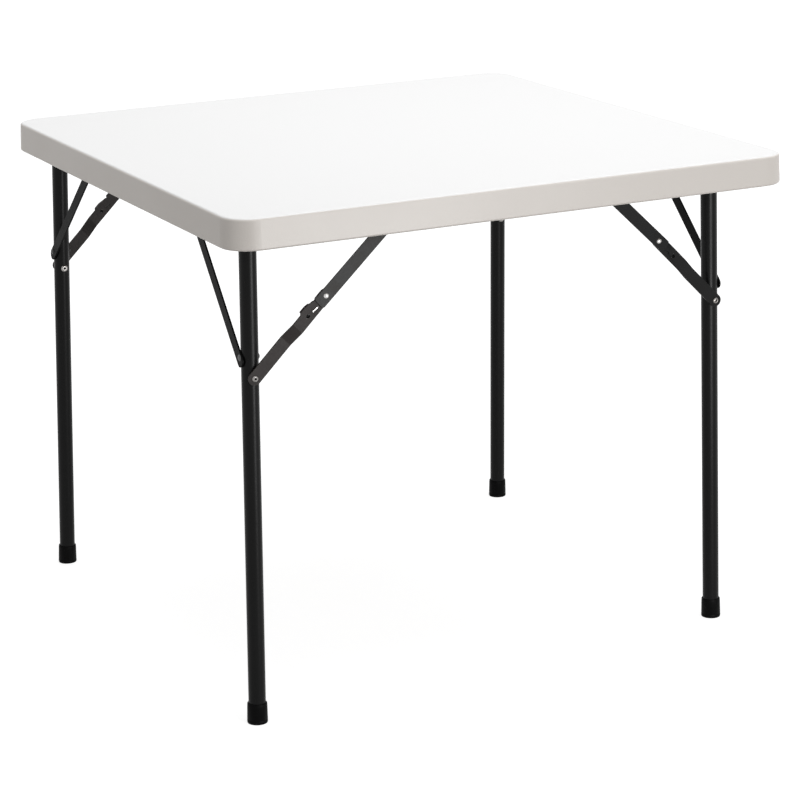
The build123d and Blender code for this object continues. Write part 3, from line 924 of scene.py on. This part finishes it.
def seen_directly(tree):
    """1 for camera, glossy and transmission rays, and 0 for the rays that light the object."""
    path = add_node(tree, "ShaderNodeLightPath").outputs
    seen = maths(tree, "MAXIMUM", path["Is Camera Ray"], path["Is Glossy Ray"])
    return maths(tree, "MAXIMUM", seen, path["Is Transmission Ray"])


def make_floor():
    """A pale floor that the camera sees as white, with the table's soft shadow on it."""
    bpy.ops.mesh.primitive_plane_add(size=FLOOR_SIZE)
    floor = bpy.context.object
    floor.name = "floor"
    material = bpy.data.materials.new("pale_floor")
    material.use_nodes = True
    tree = material.node_tree
    distance = add_node(tree, "ShaderNodeVectorMath", {0: object_place(tree)}, operation="LENGTH")
    limits = {
        "Value": distance.outputs["Value"],
        "From Min": NEAR_REACH,
        "From Max": FAR_REACH,
        "To Min": NEAR_GLOW,
        "To Max": FAR_GLOW,
    }
    fade = add_node(tree, "ShaderNodeMapRange", limits, interpolation_type="SMOOTHSTEP")
    wire(tree, tree.nodes["Principled BSDF"], {
        "Base Color": (FLOOR_SHADE, FLOOR_SHADE, FLOOR_SHADE, 1),
        "Roughness": FLOOR_ROUGHNESS,
        "Specular IOR Level": 0.0,
        "Emission Color": (1, 1, 1, 1),
        "Emission Strength": maths(tree, "MULTIPLY", seen_directly(tree), fade.outputs["Result"]),
    })
    floor.data.materials.append(material)


def make_world():
    """An even pale surround that shows as white."""
    world = bpy.data.worlds.new("studio")
    bpy.context.scene.world = world
    world.use_nodes = True
    tree = world.node_tree
    limits = {"Value": seen_directly(tree), "To Min": ROOM_LIGHT, "To Max": 1.0}
    level = add_node(tree, "ShaderNodeMapRange", limits)
    wire(tree, tree.nodes["Background"], {"Color": (1, 1, 1, 1), "Strength": level.outputs["Result"]})


def add_softbox(name, place, target, width, height, power, gloss_only=False):
    """A soft lamp that faces a point of the table, or only shines back from glossy pieces."""
    lamp = bpy.data.lights.new(name, "AREA")
    lamp.shape = "RECTANGLE"
    lamp.size = width
    lamp.size_y = height
    lamp.energy = power
    holder = bpy.data.objects.new(name, lamp)
    bpy.context.collection.objects.link(holder)
    holder.location = place
    aim = Vector(target) - Vector(place)
    holder.rotation_euler = aim.to_track_quat("-Z", "Y").to_euler()
    holder.visible_camera = False
    holder.visible_diffuse = not gloss_only


def make_lamps():
    """A soft lamp overhead, one in front, and a strip that only the glossy coats reflect."""
    add_softbox("overhead", place=(0.45, 0.1, 2.9), target=(0, 0, 0.7), width=2.6, height=2.6, power=45)
    add_softbox("front", place=(0.7, -3.4, 1.3), target=(0, 0, 0.5), width=1.2, height=2.0, power=28.5)
    add_softbox(
        "leg_strip",
        place=(0.24, -1.75, 0.4),
        target=(0.1, 0, 0.4),
        width=0.45,
        height=0.76,
        power=16,
        gloss_only=True,
    )


def make_camera():
    """The camera at the photograph's place and angle."""
    yaw, pitch, roll = CAMERA_YAW, CAMERA_PITCH, CAMERA_ROLL
    ahead = Vector((math.sin(yaw) * math.cos(pitch), math.cos(yaw) * math.cos(pitch), -math.sin(pitch)))
    level_right = Vector((math.cos(yaw), -math.sin(yaw), 0))
    level_up = level_right.cross(ahead)
    right = level_right * math.cos(roll) + level_up * math.sin(roll)
    up = level_up * math.cos(roll) - level_right * math.sin(roll)
    lens = bpy.data.cameras.new("camera")
    lens.lens = CAMERA_LENS
    lens.sensor_width = SENSOR_WIDTH
    holder = bpy.data.objects.new("camera", lens)
    bpy.context.collection.objects.link(holder)
    turn = Matrix((right, up, -ahead)).transposed()
    holder.matrix_world = Matrix.Translation(CAMERA_PLACE) @ turn.to_4x4()
    bpy.context.scene.camera = holder


dress_solids()
make_rim_seam()
make_hole_shade_plugs()
make_slot_webs()
trim_right_links()
for side in SIDES:
    make_pivot_rivets(side)
    for end in ENDS:
        make_weld_bead(side, end)
        make_foot_cap(side, end)
make_cross_screws("strap_screws", "cross_screws_of_straps")
make_cross_screws("bracket_screws", "cross_screws_of_brackets")
make_floor()
make_world()
make_lamps()
make_camera()
bpy.context.scene.view_settings.view_transform = "Standard"
